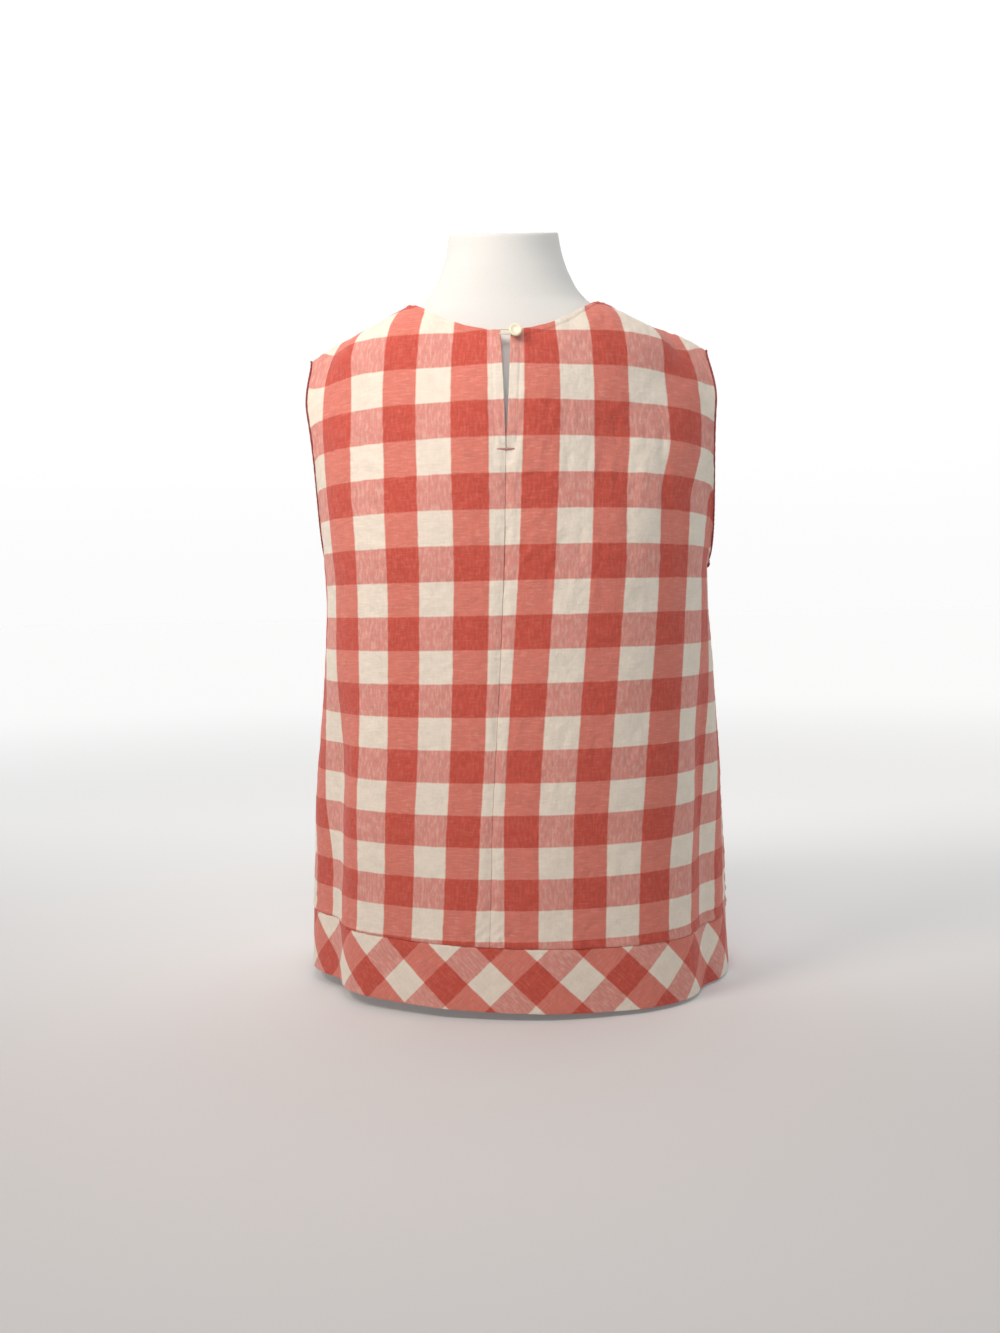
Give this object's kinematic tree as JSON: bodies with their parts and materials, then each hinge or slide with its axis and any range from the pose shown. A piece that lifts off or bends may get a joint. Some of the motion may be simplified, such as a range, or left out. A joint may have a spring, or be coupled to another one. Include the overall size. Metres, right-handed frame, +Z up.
{
  "type": "sleeveless blouse on a limbless dress form",
  "caption": "Sleeveless gingham blouse with a buttoned slit at the back neck and a bias hem band, worn by a limbless dress form.",
  "frame": {"origin": "on the form's flat base at floor height, in the blouse's centre plane", "axes": "+Z up, the blouse's front faces -Y, the wearer's left side is +X"},
  "size_m": [0.4591, 0.35, 0.7297],
  "materials": {
    "form_cover": "matte, tightly stretched plain cover",
    "gingham": "matte plain-woven coral and off-white gingham with slubs",
    "binding": "matte plain weave, folded double and stitched",
    "thread": "twisted sewing thread, slight sheen",
    "pearl_button": "polished, pearly"
  },
  "bodies": {
    "root": {"dress_form": "form_cover", "back_left": "gingham", "back_right": "gingham", "front": "gingham", "hem_band_back": "gingham", "hem_band_front": "gingham", "armhole_binding_left": "binding", "armhole_binding_right": "binding", "button": "pearl_button", "button_loop": "thread", "bar_tack": "thread"}
  },
  "joints": []
}
